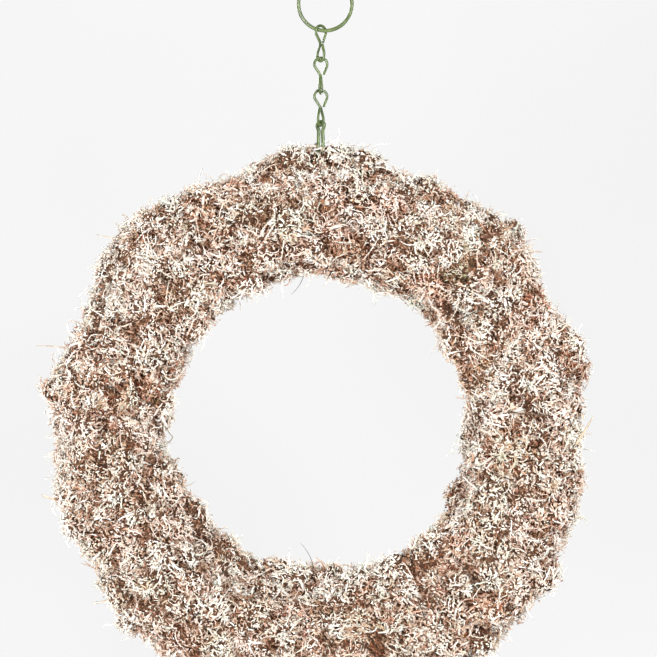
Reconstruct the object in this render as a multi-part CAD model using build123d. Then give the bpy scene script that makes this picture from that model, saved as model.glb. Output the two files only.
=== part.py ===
from build123d import *
import os
from math import asin, cos, degrees, radians, sin

# A moss-covered wire wreath frame that hangs by a short chain from a wall hook.
# Millimetres. The origin is the hook seat, the inner top of the hanging ring. +Z is up, +Y points into
# the wall, and the front of the wreath faces -Y. The chain hangs in the plane Y = 0, over the centre of mass.

# ---------------------------------------------------------------- driving dimensions
# Hanging ring and hanger, both of coated stem wire
STEM_WIRE_D = 2.3
RING_MEAN_R = 16.2
CHAIN_X = -2.7  # the chain hangs a little left of the ring's lowest point

# Chain of twisted figure-eight links
LINK_WIRE_D = 1.7
LINK_HALF_WIDTH = 3.85  # centreline, in the plane of each loop
LINK_HALF_LENGTH = 10.75  # centreline, from the waist to the end of a loop
LINK_SHOULDER = 5.9  # height above the waist where a loop starts to close in
LINK_END_P = 1.7  # where the cut end stops beside the waist, across the loop
LINK_END_Z = 0.6  # and above the waist
LINK_PLANES = {  # azimuth of the upper and of the lower loop, degrees from +X
    "upper": (40, 122),
    "middle": (0, 80),
    "lower": (8, 65),
}
LINK_SHOULDER_BEND = 3.0
LINK_WAIST_BEND = 5.0
LINK_GAP = 0.25  # running clearance between one wire and the next
RING_GAP = 0.8  # the upper link crosses the ring's wire at a slant, which takes more

# Hanger, a hairpin whose two legs hook round the raised outer ring
HANGER_PLANE = -25  # azimuth of its top loop
HANGER_LOOP_HALF = 2.3
HANGER_SHOULDER_DROP = 2.7  # below the top of the centreline
HANGER_PINCH_HALF = 1.3
HANGER_PINCH_DROP = 5.4
HANGER_LEG_HALF = 1.9
HANGER_BURIED_DEPTH = 8.0  # the legs run parallel from here down, below the top of the moss
HANGER_LEG_BEND = 12.0
HANGER_PINCH_BEND = 4.0
HANGER_SHOULDER_BEND = 2.0
HANGER_HOOK_GAP = 0.15  # between each hook and the ring it holds
HANGER_TIP_RISE = 1.0
END_BEND_MARGIN = 0.05  # leaves a short straight between the two quarter bends of a rounded end

# Wire wreath frame, two base rings at the back and two raised rings nearer the front
WREATH_Z = -271.1
FRAME_WIRE_D = 2.6
OUTER_BASE_R = 152.5
INNER_BASE_R = 102.5
OUTER_TOP_R = 140.0
INNER_TOP_R = 115.0
RING_RISE = 28.0  # from the base rings to the raised rings
CROSS_WIRES = 8
CROSS_WIRE_D = 2.3
CROSS_OVERHANG = 3.5  # how far a cross wire runs past the base rings
CROSS_BEND_INSET = 2.5
CROSS_BEND_R = 4.0
WELD_SINK = 0.25  # how far the resistance welds press the wires together

# Moss dressing, packed on in handfuls, flat against the wall and rounded in front
MOSS_PADS = 16
MOSS_INNER_R = 88.5
MOSS_OUTER_R = 166.5
MOSS_DEPTH = 62.0
MOSS_BACK_Y = 28.1
MOSS_FRONT_ROUND = 30.0
MOSS_BACK_ROUND = 16.0
MOSS_OVER_BASE_RINGS = 2.7  # moss between the base rings and the wall
MOSS_PAD_GAP_DEG = 0.1

# Binding wire wound round moss and frame
BINDING_WIRE_D = 0.7
BINDING_TURNS = 22
BINDING_SWEEP = 356.0
BINDING_START = 97.0
BINDING_SINK = 9.0  # how far it bites below the moss surface in front and at the sides
BINDING_BACK_SINK = 1.2  # and at the back, where it passes outside the base rings
BINDING_TAIL = 9.0  # the two ends are pushed this far into the moss

# ---------------------------------------------------------------- worked out from them
STEM_R = STEM_WIRE_D / 2
LINK_R = LINK_WIRE_D / 2
FRAME_R = FRAME_WIRE_D / 2
CROSS_R = CROSS_WIRE_D / 2
RING_CENTRE_Z = -(RING_MEAN_R - STEM_R)
RING_HANG_ANGLE = degrees(asin(-CHAIN_X / RING_MEAN_R))
RING_SEAT_Z = RING_CENTRE_Z - RING_MEAN_R * cos(radians(RING_HANG_ANGLE))

MOSS_FRONT_Y = MOSS_BACK_Y - MOSS_DEPTH
MOSS_MEAN_R = (MOSS_INNER_R + MOSS_OUTER_R) / 2
MOSS_WIDTH = MOSS_OUTER_R - MOSS_INNER_R
BASE_RING_Y = MOSS_BACK_Y - MOSS_OVER_BASE_RINGS - FRAME_R
TOP_RING_Y = BASE_RING_Y - RING_RISE
PAD_ANGLE = 360 / MOSS_PADS
WREATH_CENTRE = Vector(CHAIN_X, 0, WREATH_Z)


def bent_wire(points, bend_radii, diameter):
    """A round wire along straight runs joined by tangent arcs, one radius for each inner point."""
    path = FilletPolyline(*points, radius=bend_radii)
    start = Plane(origin=path @ 0, z_dir=path % 0)
    return sweep(start * Circle(diameter / 2), path=path)


def on_plane(azimuth, across, z, x=CHAIN_X):
    """A point of the vertical plane through the chain line that stands at this azimuth."""
    return Vector(x + across * cos(radians(azimuth)), across * sin(radians(azimuth)), z)


def on_wreath(angle, radius, y):
    """A point at this clock angle and radius on the wreath, and this depth."""
    return WREATH_CENTRE + Vector(radius * cos(radians(angle)), y, radius * sin(radians(angle)))


def hanging_ring():
    """The closed ring that sits on the wall hook."""
    return Pos(0, 0, RING_CENTRE_Z) * Rot(90, 0, 0) * Torus(RING_MEAN_R, STEM_R)


def chain_link(waist_z, upper_plane, lower_plane):
    """One open figure-eight link, its lower loop turned away from its upper loop."""
    half, length, shoulder = LINK_HALF_WIDTH, LINK_HALF_LENGTH, LINK_SHOULDER
    upper = [
        (LINK_END_P, LINK_END_Z),
        (half, shoulder),
        (half, length),
        (-half, length),
        (-half, shoulder),
    ]
    points = [on_plane(upper_plane, p, waist_z + z) for p, z in upper]
    points.append(on_plane(upper_plane, 0, waist_z))
    points += [on_plane(lower_plane, -p, waist_z - z) for p, z in reversed(upper)]
    loop_bend = half - END_BEND_MARGIN
    bends = [LINK_SHOULDER_BEND, loop_bend, loop_bend, LINK_SHOULDER_BEND]
    return bent_wire(points, bends + [LINK_WAIST_BEND] + bends[::-1], LINK_WIRE_D)


def hanger_wire(top_z):
    """The hairpin: a loop through the lowest link, and two legs that hook round the raised outer ring."""
    ring_z = WREATH_Z + OUTER_TOP_R
    reach = FRAME_R + STEM_R + HANGER_HOOK_GAP
    leg_top_z = WREATH_Z + MOSS_OUTER_R - HANGER_BURIED_DEPTH
    loop_bend = HANGER_LOOP_HALF - END_BEND_MARGIN
    hook_bend = reach - END_BEND_MARGIN

    def leg(side):
        """The points of one leg, from its hooked tip to the corner of the top loop."""
        foot_x = CHAIN_X + side * HANGER_LEG_HALF
        return [
            Vector(foot_x, TOP_RING_Y - reach, ring_z + HANGER_TIP_RISE),
            Vector(foot_x, TOP_RING_Y - reach, ring_z - reach),
            Vector(foot_x, TOP_RING_Y + reach, ring_z - reach),
            Vector(foot_x, TOP_RING_Y + reach, leg_top_z),
            on_plane(HANGER_PLANE, side * HANGER_PINCH_HALF, top_z - HANGER_PINCH_DROP),
            on_plane(HANGER_PLANE, side * HANGER_LOOP_HALF, top_z - HANGER_SHOULDER_DROP),
            on_plane(HANGER_PLANE, side * HANGER_LOOP_HALF, top_z),
        ]

    bends = [hook_bend, hook_bend, HANGER_LEG_BEND, HANGER_PINCH_BEND, HANGER_SHOULDER_BEND, loop_bend]
    return bent_wire(leg(-1) + leg(1)[::-1], bends + bends[::-1], STEM_WIRE_D)


def frame_ring(radius, y):
    """One closed ring of the wire frame."""
    return Pos(CHAIN_X, y, WREATH_Z) * Rot(90, 0, 0) * Torus(radius, FRAME_R)


def cross_wire(angle):
    """One bent wire welded across the four rings: behind the raised pair and in front of the base pair."""
    apart = FRAME_R + CROSS_R - WELD_SINK
    low_y = BASE_RING_Y - apart
    high_y = TOP_RING_Y + apart
    outline = [
        (OUTER_BASE_R + CROSS_OVERHANG, low_y),
        (OUTER_BASE_R - CROSS_BEND_INSET, low_y),
        (OUTER_TOP_R + CROSS_BEND_INSET, high_y),
        (INNER_TOP_R - CROSS_BEND_INSET, high_y),
        (INNER_BASE_R + CROSS_BEND_INSET, low_y),
        (INNER_BASE_R - CROSS_OVERHANG, low_y),
    ]
    points = [on_wreath(angle, r, y) for r, y in outline]
    return bent_wire(points, [CROSS_BEND_R] * 4, CROSS_WIRE_D)


def moss_pad(angle):
    """One handful of moss, a short arc of the padded ring centred on this angle."""
    start = angle - (PAD_ANGLE - MOSS_PAD_GAP_DEG) / 2
    out = Vector(cos(radians(start)), 0, sin(radians(start)))
    section = Pos(MOSS_MEAN_R, (MOSS_FRONT_Y + MOSS_BACK_Y) / 2) * Rectangle(MOSS_WIDTH, MOSS_DEPTH)
    section = fillet(section.vertices().group_by(Axis.Y)[0], MOSS_FRONT_ROUND)
    section = fillet(section.vertices().group_by(Axis.Y)[-1], MOSS_BACK_ROUND)
    face = Plane(origin=WREATH_CENTRE, x_dir=out, z_dir=Vector(-out.Z, 0, out.X)) * section
    axis = Axis(WREATH_CENTRE, (0, -1, 0))
    return revolve(face, axis=axis, revolution_arc=PAD_ANGLE - MOSS_PAD_GAP_DEG)


def binding_wire():
    """The thin wire wound round moss and frame in one long spiral, its ends pushed into the moss."""
    outer, inner = MOSS_OUTER_R - BINDING_SINK, MOSS_INNER_R + BINDING_SINK
    front, back = MOSS_FRONT_Y + BINDING_SINK, MOSS_BACK_Y - BINDING_BACK_SINK
    front_bend = MOSS_FRONT_ROUND - BINDING_SINK
    back_bend = MOSS_BACK_ROUND - BINDING_SINK
    corners = [
        (outer, back, back_bend),
        (outer, front, front_bend),
        (inner, front, front_bend),
        (inner, back, back_bend),
    ]
    count = BINDING_TURNS * len(corners)
    step = BINDING_SWEEP / count
    points = [on_wreath(BINDING_START, MOSS_MEAN_R, back - BINDING_TAIL)]
    points.append(on_wreath(BINDING_START, MOSS_MEAN_R, back))
    bends = [BINDING_TAIL / 3]
    for i in range(count):
        radius, y, bend = corners[i % len(corners)]
        points.append(on_wreath(BINDING_START + (i + 0.5) * step, radius, y))
        bends.append(bend)
    last = BINDING_START + count * step
    points.append(on_wreath(last, MOSS_MEAN_R, back))
    points.append(on_wreath(last, MOSS_MEAN_R, back - BINDING_TAIL))
    bends.append(BINDING_TAIL / 3)
    return bent_wire(points, bends, BINDING_WIRE_D)


def build():
    """Every piece of the object, by node name, and the joint line heights."""
    nodes = {"hanging_ring": hanging_ring()}
    ring_step = STEM_R + LINK_R + RING_GAP
    link_step = 2 * LINK_R + LINK_GAP
    hanger_step = STEM_R + LINK_R + LINK_GAP
    seat_z = RING_SEAT_Z
    step = ring_step
    seats = [seat_z]
    for name, (upper_plane, lower_plane) in LINK_PLANES.items():
        waist_z = seat_z + step - LINK_HALF_LENGTH
        nodes[f"chain_link_{name}"] = chain_link(waist_z, upper_plane, lower_plane)
        seat_z = waist_z - LINK_HALF_LENGTH
        step = link_step
        seats.append(seat_z)
    nodes["hanger_wire"] = hanger_wire(seat_z + hanger_step)
    nodes["outer_base_ring"] = frame_ring(OUTER_BASE_R, BASE_RING_Y)
    nodes["inner_base_ring"] = frame_ring(INNER_BASE_R, BASE_RING_Y)
    nodes["outer_top_ring"] = frame_ring(OUTER_TOP_R, TOP_RING_Y)
    nodes["inner_top_ring"] = frame_ring(INNER_TOP_R, TOP_RING_Y)
    for i in range(CROSS_WIRES):
        angle = 90 + PAD_ANGLE + i * 360 / CROSS_WIRES
        nodes[f"cross_wire_{i + 1:02d}"] = cross_wire(angle)
    for i in range(MOSS_PADS):
        nodes[f"moss_pad_{i + 1:02d}"] = moss_pad(90 + i * PAD_ANGLE)
    nodes["binding_wire"] = binding_wire()
    return nodes, seats


nodes, seats = build()
os.makedirs("parts", exist_ok=True)
for name, solid in nodes.items():
    export_step(solid, f"parts/{name}.step")
print("joint heights, mm:", [round(z, 3) for z in seats])
print("ring hang angle, degrees:", round(RING_HANG_ANGLE, 3))
print("nodes:", len(nodes))
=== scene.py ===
"""The looks of a moss-covered wreath frame, hung by a short chain of green coated wire."""

import logging
import math
from collections.abc import Sequence
from dataclasses import astuple, dataclass, field
from enum import Enum
from typing import Any

import bpy
import numpy as np
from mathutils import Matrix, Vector

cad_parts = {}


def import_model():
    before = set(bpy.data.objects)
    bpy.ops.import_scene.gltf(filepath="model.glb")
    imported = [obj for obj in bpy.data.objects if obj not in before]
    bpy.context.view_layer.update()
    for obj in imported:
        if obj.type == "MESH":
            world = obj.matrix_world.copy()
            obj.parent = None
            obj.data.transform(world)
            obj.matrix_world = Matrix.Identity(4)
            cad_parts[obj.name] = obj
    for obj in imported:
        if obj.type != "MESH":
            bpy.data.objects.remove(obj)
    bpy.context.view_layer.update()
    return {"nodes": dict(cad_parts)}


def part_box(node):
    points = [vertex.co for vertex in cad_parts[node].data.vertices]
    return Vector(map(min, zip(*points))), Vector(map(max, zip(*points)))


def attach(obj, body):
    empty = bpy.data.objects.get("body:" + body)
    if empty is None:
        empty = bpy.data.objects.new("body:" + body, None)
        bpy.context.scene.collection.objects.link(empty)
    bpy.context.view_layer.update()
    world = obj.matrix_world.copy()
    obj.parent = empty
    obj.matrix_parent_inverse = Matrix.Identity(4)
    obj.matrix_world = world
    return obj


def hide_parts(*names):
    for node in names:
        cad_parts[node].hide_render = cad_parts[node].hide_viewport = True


LOG = logging.getLogger("moss_wreath")
MM = 0.001
FULL_TURN = 2 * math.pi
Colour = tuple[float, float, float]
Array = np.ndarray


# ------------------------------------------------------------------------------------------- shading kit
class Signal:
    """A value socket of a node tree that takes part in plain arithmetic."""

    def __init__(self, kit: "NodeKit", socket: bpy.types.NodeSocket) -> None:
        self.kit = kit
        self.socket = socket

    def _join(self, operation: str, first: Any, second: Any) -> "Signal":
        """Adds one Math node.

        Args:
            operation: The Math node's operation.
            first: A Signal or a number.
            second: A Signal or a number.

        Returns:
            The node's output.
        """
        node = self.kit.node("ShaderNodeMath", {"operation": operation}, {0: first, 1: second})
        return Signal(self.kit, node.outputs[0])

    def __add__(self, other: Any) -> "Signal":
        """self + other."""
        return self._join("ADD", self, other)

    def __radd__(self, other: Any) -> "Signal":
        """other + self."""
        return self._join("ADD", other, self)

    def __sub__(self, other: Any) -> "Signal":
        """self - other."""
        return self._join("SUBTRACT", self, other)

    def __rsub__(self, other: Any) -> "Signal":
        """other - self."""
        return self._join("SUBTRACT", other, self)

    def __mul__(self, other: Any) -> "Signal":
        """self * other."""
        return self._join("MULTIPLY", self, other)

    def __rmul__(self, other: Any) -> "Signal":
        """other * self."""
        return self._join("MULTIPLY", other, self)


class NodeKit:
    """Builds the node tree of one material or world."""

    def __init__(self, owner: bpy.types.Material | bpy.types.World) -> None:
        """Empties the owner's node tree."""
        self.owner = owner
        self.owner.use_nodes = True
        self.tree = self.owner.node_tree
        self.tree.nodes.clear()

    def node(
        self,
        kind: str,
        settings: dict[str, Any] | None = None,
        values: dict[Any, Any] | None = None,
    ) -> bpy.types.Node:
        """Adds a node of any type.

        Args:
            kind: The node's type, such as ShaderNodeTexNoise.
            settings: The node's own properties, set first; "stops" fills a colour ramp.
            values: A number, colour, Signal or socket for each named or numbered input.

        Returns:
            The new node.
        """
        made = self.tree.nodes.new(kind)
        for key, value in (settings or {}).items():
            if key == "stops":
                ramp = made.color_ramp.elements
                while len(ramp) < len(value):
                    ramp.new(0.5)
                for element, (place, colour) in zip(ramp, value, strict=True):
                    element.position = place
                    element.color = (*colour, 1.0)
            else:
                setattr(made, key, value)
        for key, value in (values or {}).items():
            socket = made.inputs[key]
            if isinstance(value, Signal):
                self.tree.links.new(value.socket, socket)
            elif isinstance(value, bpy.types.NodeSocket):
                self.tree.links.new(value, socket)
            else:
                socket.default_value = value
        return made

    def attribute(self, name: str) -> Signal:
        """The value that the mesh stores under this name."""
        made = self.node("ShaderNodeAttribute", {"attribute_name": name})
        return Signal(self, made.outputs["Fac"])

    def noise(self, scale: float, detail: float = 3.0, roughness: float = 0.55) -> Signal:
        """Even noise over the object's own coordinates.

        Args:
            scale: Cells to the metre.
            detail: How many finer octaves are added.
            roughness: How strong those octaves are.

        Returns:
            A value around 0.5.
        """
        place = self.node("ShaderNodeTexCoord").outputs["Object"]
        values = {"Vector": place, "Scale": scale, "Detail": detail, "Roughness": roughness}
        made = self.node("ShaderNodeTexNoise", {"noise_dimensions": "3D"}, values)
        return Signal(self, made.outputs["Fac"])

    def ramp(self, value: Signal, stops: Sequence[tuple[float, Colour]]) -> bpy.types.NodeSocket:
        """Looks a colour up along a row of stops.

        Args:
            value: Where along the row, from 0 to 1.
            stops: The places and their colours.

        Returns:
            The colour's socket.
        """
        made = self.node("ShaderNodeValToRGB", {"stops": stops}, {"Fac": value})
        return made.outputs["Color"]

    def mix(self, share: Any, first: Any, second: Any, how: str = "MIX") -> bpy.types.NodeSocket:
        """Mixes two colours.

        Args:
            share: How much of the second colour, a Signal or a number.
            first: A colour or a colour socket.
            second: A colour or a colour socket.
            how: The blend type.

        Returns:
            The mixed colour's socket.
        """
        colours = [c if isinstance(c, bpy.types.NodeSocket) else (*c, 1.0) for c in (first, second)]
        settings = {"data_type": "RGBA", "blend_type": how, "clamp_factor": True}
        made = self.node("ShaderNodeMix", settings, {0: share, 6: colours[0], 7: colours[1]})
        return made.outputs[2]

    def bump(self, height: Signal, distance: float, strength: float) -> bpy.types.NodeSocket:
        """Turns a height into a normal.

        Args:
            height: The height, in units of the distance.
            distance: How far a height of 1 stands up, in metres.
            strength: How strongly it shows, from 0 to 1.

        Returns:
            The normal's socket.
        """
        values = {"Height": height, "Distance": distance, "Strength": strength}
        return self.node("ShaderNodeBump", {}, values).outputs["Normal"]

    def surface(self, **inputs: Any) -> bpy.types.Material:
        """Closes the tree with a Principled shader.

        Args:
            inputs: Values by input name, with _ for a space.

        Returns:
            The finished material.
        """
        values = {key.replace("_", " "): value for key, value in inputs.items()}
        shader = self.node("ShaderNodeBsdfPrincipled", {}, values)
        self.node("ShaderNodeOutputMaterial", {}, {"Surface": shader.outputs[0]})
        return self.owner


@dataclass(frozen=True)
class CoatedWire:
    """Green lacquer or plastic on drawn wire, a little patchy, with dull scuffs."""

    name: str
    dark: Colour
    light: Colour
    scuff: Colour
    roughness: float = 0.38
    coat: float = 0.25
    patch_scale: float = 170.0
    grain_scale: float = 2600.0

    def build(self) -> bpy.types.Material:
        """Makes the material."""
        kit = NodeKit(bpy.data.materials.new(self.name))
        patches = kit.noise(self.patch_scale, 4.0, 0.6)
        grain = kit.noise(self.grain_scale, 2.0, 0.5)
        scuffs = (kit.noise(self.patch_scale * 4.3, 5.0, 0.7) - 0.62) * 9.0
        coating = kit.ramp(patches, [(0.36, self.dark), (0.64, self.light)])
        worn = kit.mix(scuffs, coating, self.scuff)
        return kit.surface(
            Base_Color=worn,
            Roughness=self.roughness + (patches - 0.5) * 0.35 + (grain - 0.5) * 0.15,
            Normal=kit.bump(grain + patches * 2.0, 0.06 * MM, 0.5),
            Coat_Weight=self.coat,
            Coat_Roughness=0.3,
        )


@dataclass(frozen=True)
class DriedMoss:
    """Dried sphagnum, from dark red-brown at the roots to bleached cream at the tips; the dark roots are
    partly painted shade.

    The mesh stores each strand's tone, how open to the light it is (shade, painted into the colour as shade),
    its lean from straw to rosy (blush) and from golden to green (accent).
    """

    name: str = "dried_moss"
    green: Colour = (0.20, 0.26, 0.055)
    gold: Colour = (0.50, 0.24, 0.07)
    rosy: Colour = (1.0, 0.84, 0.78)
    straw: Colour = (0.94, 0.955, 0.88)
    painted_shade_stops: tuple[tuple[float, Colour], ...] = (
        (0.0, (0.060, 0.020, 0.010)),
        (0.5, (0.500, 0.325, 0.235)),
        (1.0, (1.000, 1.000, 1.000)),
    )
    stops: tuple[tuple[float, Colour], ...] = (
        (0.00, (0.090, 0.019, 0.008)),
        (0.16, (0.300, 0.098, 0.052)),
        (0.32, (0.535, 0.287, 0.190)),
        (0.48, (0.712, 0.520, 0.410)),
        (0.66, (0.820, 0.722, 0.640)),
        (0.84, (0.888, 0.840, 0.785)),
        (1.00, (0.940, 0.924, 0.888)),
    )

    def build(self) -> bpy.types.Material:
        """Makes the material from what the mesh stores."""
        kit = NodeKit(bpy.data.materials.new(self.name))
        fleck = kit.noise(900.0, 3.0, 0.6)
        tone = kit.attribute("tone") + (fleck - 0.5) * 0.22
        accent = kit.attribute("accent")
        blush = kit.attribute("blush")
        colour = kit.ramp(tone, self.stops)
        colour = kit.mix(blush, colour, self.rosy, "MULTIPLY")
        colour = kit.mix(blush * -1.0, colour, self.straw, "MULTIPLY")
        colour = kit.mix(accent, colour, self.green)
        colour = kit.mix(accent * -1.0, colour, self.gold)
        # Painted shade: the stored shade darkens and reddens the colour in the crevices and at the strands'
        # roots.
        colour = kit.mix(1.0, colour, kit.ramp(kit.attribute("shade"), self.painted_shade_stops), "MULTIPLY")
        return kit.surface(Base_Color=colour, Roughness=0.78 + (fleck - 0.5) * 0.3, Specular_IOR_Level=0.25)


@dataclass(frozen=True)
class PackedCore:
    """The crumbled moss under the loose strands, coloured near black: partly its own dark brown, partly
    painted shade of the deep gaps.
    """

    name: str = "packed_moss_painted_shade"
    dark: Colour = (0.012, 0.005, 0.003)
    light: Colour = (0.225, 0.112, 0.066)

    def build(self) -> bpy.types.Material:
        """Makes the material."""
        kit = NodeKit(bpy.data.materials.new(self.name))
        lumps = kit.noise(160.0, 4.0, 0.65)
        crumbs = kit.noise(850.0, 4.0, 0.7)
        # Near-black lows: painted shade of the deep gaps, together with the moss's own dark brown.
        colour = kit.ramp(lumps * 0.3 + crumbs * 0.7, [(0.38, self.dark), (0.60, self.light)])
        return kit.surface(
            Base_Color=colour,
            Roughness=0.88 + (crumbs - 0.5) * 0.2,
            Normal=kit.bump(crumbs, 2.0 * MM, 1.0),
            Specular_IOR_Level=0.2,
        )


@dataclass(frozen=True)
class PlantFibre:
    """A plain stem, straw or root hair, streaked along its length."""

    name: str
    dark: Colour
    light: Colour
    roughness: float = 0.6

    def build(self) -> bpy.types.Material:
        """Makes the material."""
        kit = NodeKit(bpy.data.materials.new(self.name))
        streak = kit.noise(700.0, 4.0, 0.7)
        colour = kit.ramp(streak, [(0.35, self.dark), (0.65, self.light)])
        return kit.surface(Base_Color=colour, Roughness=self.roughness + (streak - 0.5) * 0.3)


@dataclass(frozen=True)
class PlainStage:
    """Matt pale paint for the floor and the wall, which lets a view from behind through."""

    name: str
    colour: Colour
    glow: float = 0.0

    def build(self) -> bpy.types.Material:
        """Makes the material."""
        kit = NodeKit(bpy.data.materials.new(self.name))
        soft = kit.noise(3.0, 2.0, 0.5)
        grain = kit.noise(330.0, 3.0, 0.6)
        paler = tuple(min(1.0, c * 1.03) for c in self.colour)
        colour = kit.ramp(soft, [(0.3, self.colour), (0.7, paler)])
        values = {
            "Base Color": colour,
            "Roughness": 0.9,
            "Specular IOR Level": 0.1,
            "Emission Color": colour,
            "Emission Strength": self.glow,
            "Normal": kit.bump(grain, 0.6 * MM, 0.35),
        }
        paint = kit.node("ShaderNodeBsdfPrincipled", {}, values).outputs[0]
        clear = kit.node("ShaderNodeBsdfTransparent").outputs[0]
        behind = kit.node("ShaderNodeNewGeometry").outputs["Backfacing"]
        either = kit.node("ShaderNodeMixShader", {}, {0: behind, 1: paint, 2: clear}).outputs[0]
        kit.node("ShaderNodeOutputMaterial", {}, {"Surface": either})
        return kit.owner


# ------------------------------------------------------------------------------------------- mesh stock
def unit(vectors: Array) -> Array:
    """Vectors of length 1 along these."""
    return vectors / np.maximum(np.linalg.norm(vectors, axis=-1, keepdims=True), 1e-12)


def across(vectors: Array, axes: Array) -> Array:
    """The part of each vector at right angles to its unit axis, at length 1."""
    return unit(vectors - np.sum(vectors * axes, axis=-1, keepdims=True) * axes)


def rearward(outward: Array) -> Array:
    """How much each normal belongs to the flat back, from 0 to 1."""
    return np.clip((outward[:, 1] - 0.45) / 0.4, 0, 1)


def sphere_points(rng: np.random.Generator, count: int) -> Array:
    """Random directions, even over the sphere."""
    return unit(rng.normal(size=(count, 3)))


STORED = ("tone", "shade", "accent", "blush")


@dataclass
class MeshStock:
    """Gathers points, faces and per-point values, and turns them into one piece."""

    points: list[Array] = field(default_factory=list)
    faces: list[tuple[Array, int]] = field(default_factory=list)
    values: dict[str, list[Array]] = field(default_factory=lambda: {key: [] for key in STORED})
    size: int = 0

    def add(self, points: Array, faces: Sequence[Array], slot: int, **values: Array | float) -> None:
        """Adds one batch.

        Args:
            points: N by 3 points.
            faces: Arrays of triangles or quads that count from the batch's first point.
            slot: The material slot of these faces.
            values: tone, shade, accent and blush, a number or one for each point.
        """
        self.points.append(points)
        for corners in faces:
            self.faces.append((corners + self.size, slot))
        for name, stored in self.values.items():
            stored.append(np.broadcast_to(values.get(name, 0.0), (len(points),)).astype(np.float32))
        self.size += len(points)

    def build(self, name: str, materials: Sequence[bpy.types.Material]) -> bpy.types.Object:
        """Makes the object and links it to the scene.

        Args:
            name: The piece's name.
            materials: One for each slot number.

        Returns:
            The new object.
        """
        mesh = bpy.data.meshes.new(name)
        points = np.concatenate(self.points).astype(np.float32)
        mesh.vertices.add(len(points))
        mesh.vertices.foreach_set("co", points.ravel())
        sizes = np.concatenate([np.full(len(f), f.shape[1], np.int32) for f, _ in self.faces])
        slots = np.concatenate([np.full(len(f), s, np.int32) for f, s in self.faces])
        corners = np.concatenate([f.ravel() for f, _ in self.faces]).astype(np.int32)
        mesh.loops.add(len(corners))
        mesh.loops.foreach_set("vertex_index", corners)
        mesh.polygons.add(len(sizes))
        starts = np.concatenate([[0], np.cumsum(sizes)[:-1]]).astype(np.int32)
        mesh.polygons.foreach_set("loop_start", starts)
        mesh.polygons.foreach_set("loop_total", sizes)
        mesh.polygons.foreach_set("material_index", slots)
        for key, stored in self.values.items():
            attribute = mesh.attributes.new(key, "FLOAT", "POINT")
            attribute.data.foreach_set("value", np.concatenate(stored))
        mesh.update(calc_edges=True)
        for material in materials:
            mesh.materials.append(material)
        piece = bpy.data.objects.new(name, mesh)
        bpy.context.scene.collection.objects.link(piece)
        return piece


@dataclass(frozen=True)
class Arcs:
    """Many strands at once, each a stretch of a helix that starts at a root point."""

    root: Array
    along: Array
    bend_to: Array
    length: Array
    turn: Array
    drift: Array

    @staticmethod
    def grown(
        rng: np.random.Generator,
        root: Array,
        along: Array,
        down: Array,
        length: Array,
        turn: Array,
        droop: float = 0.6,
    ) -> "Arcs":
        """Strands that leave their roots along a direction and curl over.

        Args:
            rng: The source of chance.
            root: N by 3 starting points.
            along: N by 3 unit directions at the start.
            down: N by 3 unit directions that the strands tend to curl towards.
            length: N lengths along the strand.
            turn: N angles that each strand turns through, in radians.
            droop: How strongly they curl down rather than to a random side.

        Returns:
            The strands.
        """
        side = across(sphere_points(rng, len(root)) + droop * down, along)
        drift = rng.normal(0.0, 0.22, len(root))
        return Arcs(root, along, side, length, turn, drift)

    def frame(self, at: Array) -> tuple[Array, Array, Array, Array]:
        """Points and directions along every strand.

        Args:
            at: N by S places along the strand, from 0 to 1.

        Returns:
            Points, directions along, directions of the bend, and sideways directions, N by S by 3.
        """
        angle = (self.turn[:, None] * at)[..., None]
        radius = (self.length / self.turn)[:, None, None]
        ahead, inward = self.along[:, None], self.bend_to[:, None]
        side = np.broadcast_to(np.cross(self.along, self.bend_to)[:, None], (*at.shape, 3))
        slide = (self.length * self.drift)[:, None, None] * at[..., None]
        points = self.root[:, None] + radius * (ahead * np.sin(angle) + inward * (1 - np.cos(angle)))
        tangent = ahead * np.cos(angle) + inward * np.sin(angle)
        bend = inward * np.cos(angle) - ahead * np.sin(angle)
        return points + slide * side, tangent, bend, side


def tube_batch(arcs: Arcs, radii: Array, sides: int = 3, flat: float = 1.0) -> tuple[Array, list[Array]]:
    """Closed tubes round strands.

    Args:
        arcs: The strands.
        radii: N by S radii, evenly spaced along each strand.
        sides: Corners of the cross-section.
        flat: Thickness as a share of the width, across the way the strand curls.

    Returns:
        The points, ordered by strand, ring and corner, and the faces.
    """
    count, rings = radii.shape
    at = np.broadcast_to(np.linspace(0, 1, rings), (count, rings))
    centre, _, bend, side = arcs.frame(at)
    spin = np.linspace(0, FULL_TURN, sides, endpoint=False)
    reach = flat * np.cos(spin)[:, None] * bend[..., None, :] + np.sin(spin)[:, None] * side[..., None, :]
    points = centre[..., None, :] + radii[..., None, None] * reach
    index = np.arange(count * rings * sides).reshape(count, rings, sides)
    after = np.roll(index, -1, axis=2)
    walls = np.stack([index[:, :-1], index[:, 1:], after[:, 1:], after[:, :-1]], axis=-1)
    return points.reshape(-1, 3), [walls.reshape(-1, 4), index[:, 0], index[:, -1, ::-1]]


def spindle_batch(
    base: Array, tip: Array, side: Array, width: Array, flat: float = 0.45
) -> tuple[Array, list[Array]]:
    """Small closed leaves, pointed at both ends and widest near the base.

    Args:
        base: N by 3 base points.
        tip: N by 3 tips.
        side: N by 3 directions across the leaf.
        width: N half widths.
        flat: Thickness as a share of the width.

    Returns:
        The points, five to a leaf, and the faces.
    """
    along = unit(tip - base)
    wide = across(side, along)
    thick = np.cross(along, wide)
    middle = base + 0.4 * (tip - base)
    size = width[:, None]
    ring = [
        middle + wide * size,
        middle - wide * size * 0.5 + thick * size * flat,
        middle - wide * size * 0.5 - thick * size * flat,
    ]
    points = np.stack([base, *ring, tip], axis=1).reshape(-1, 3)
    first = np.arange(len(base))[:, None] * 5
    fans = [[0, 2, 1], [0, 3, 2], [0, 1, 3], [4, 1, 2], [4, 2, 3], [4, 3, 1]]
    return points, [first + np.array(fan) for fan in fans]


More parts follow.
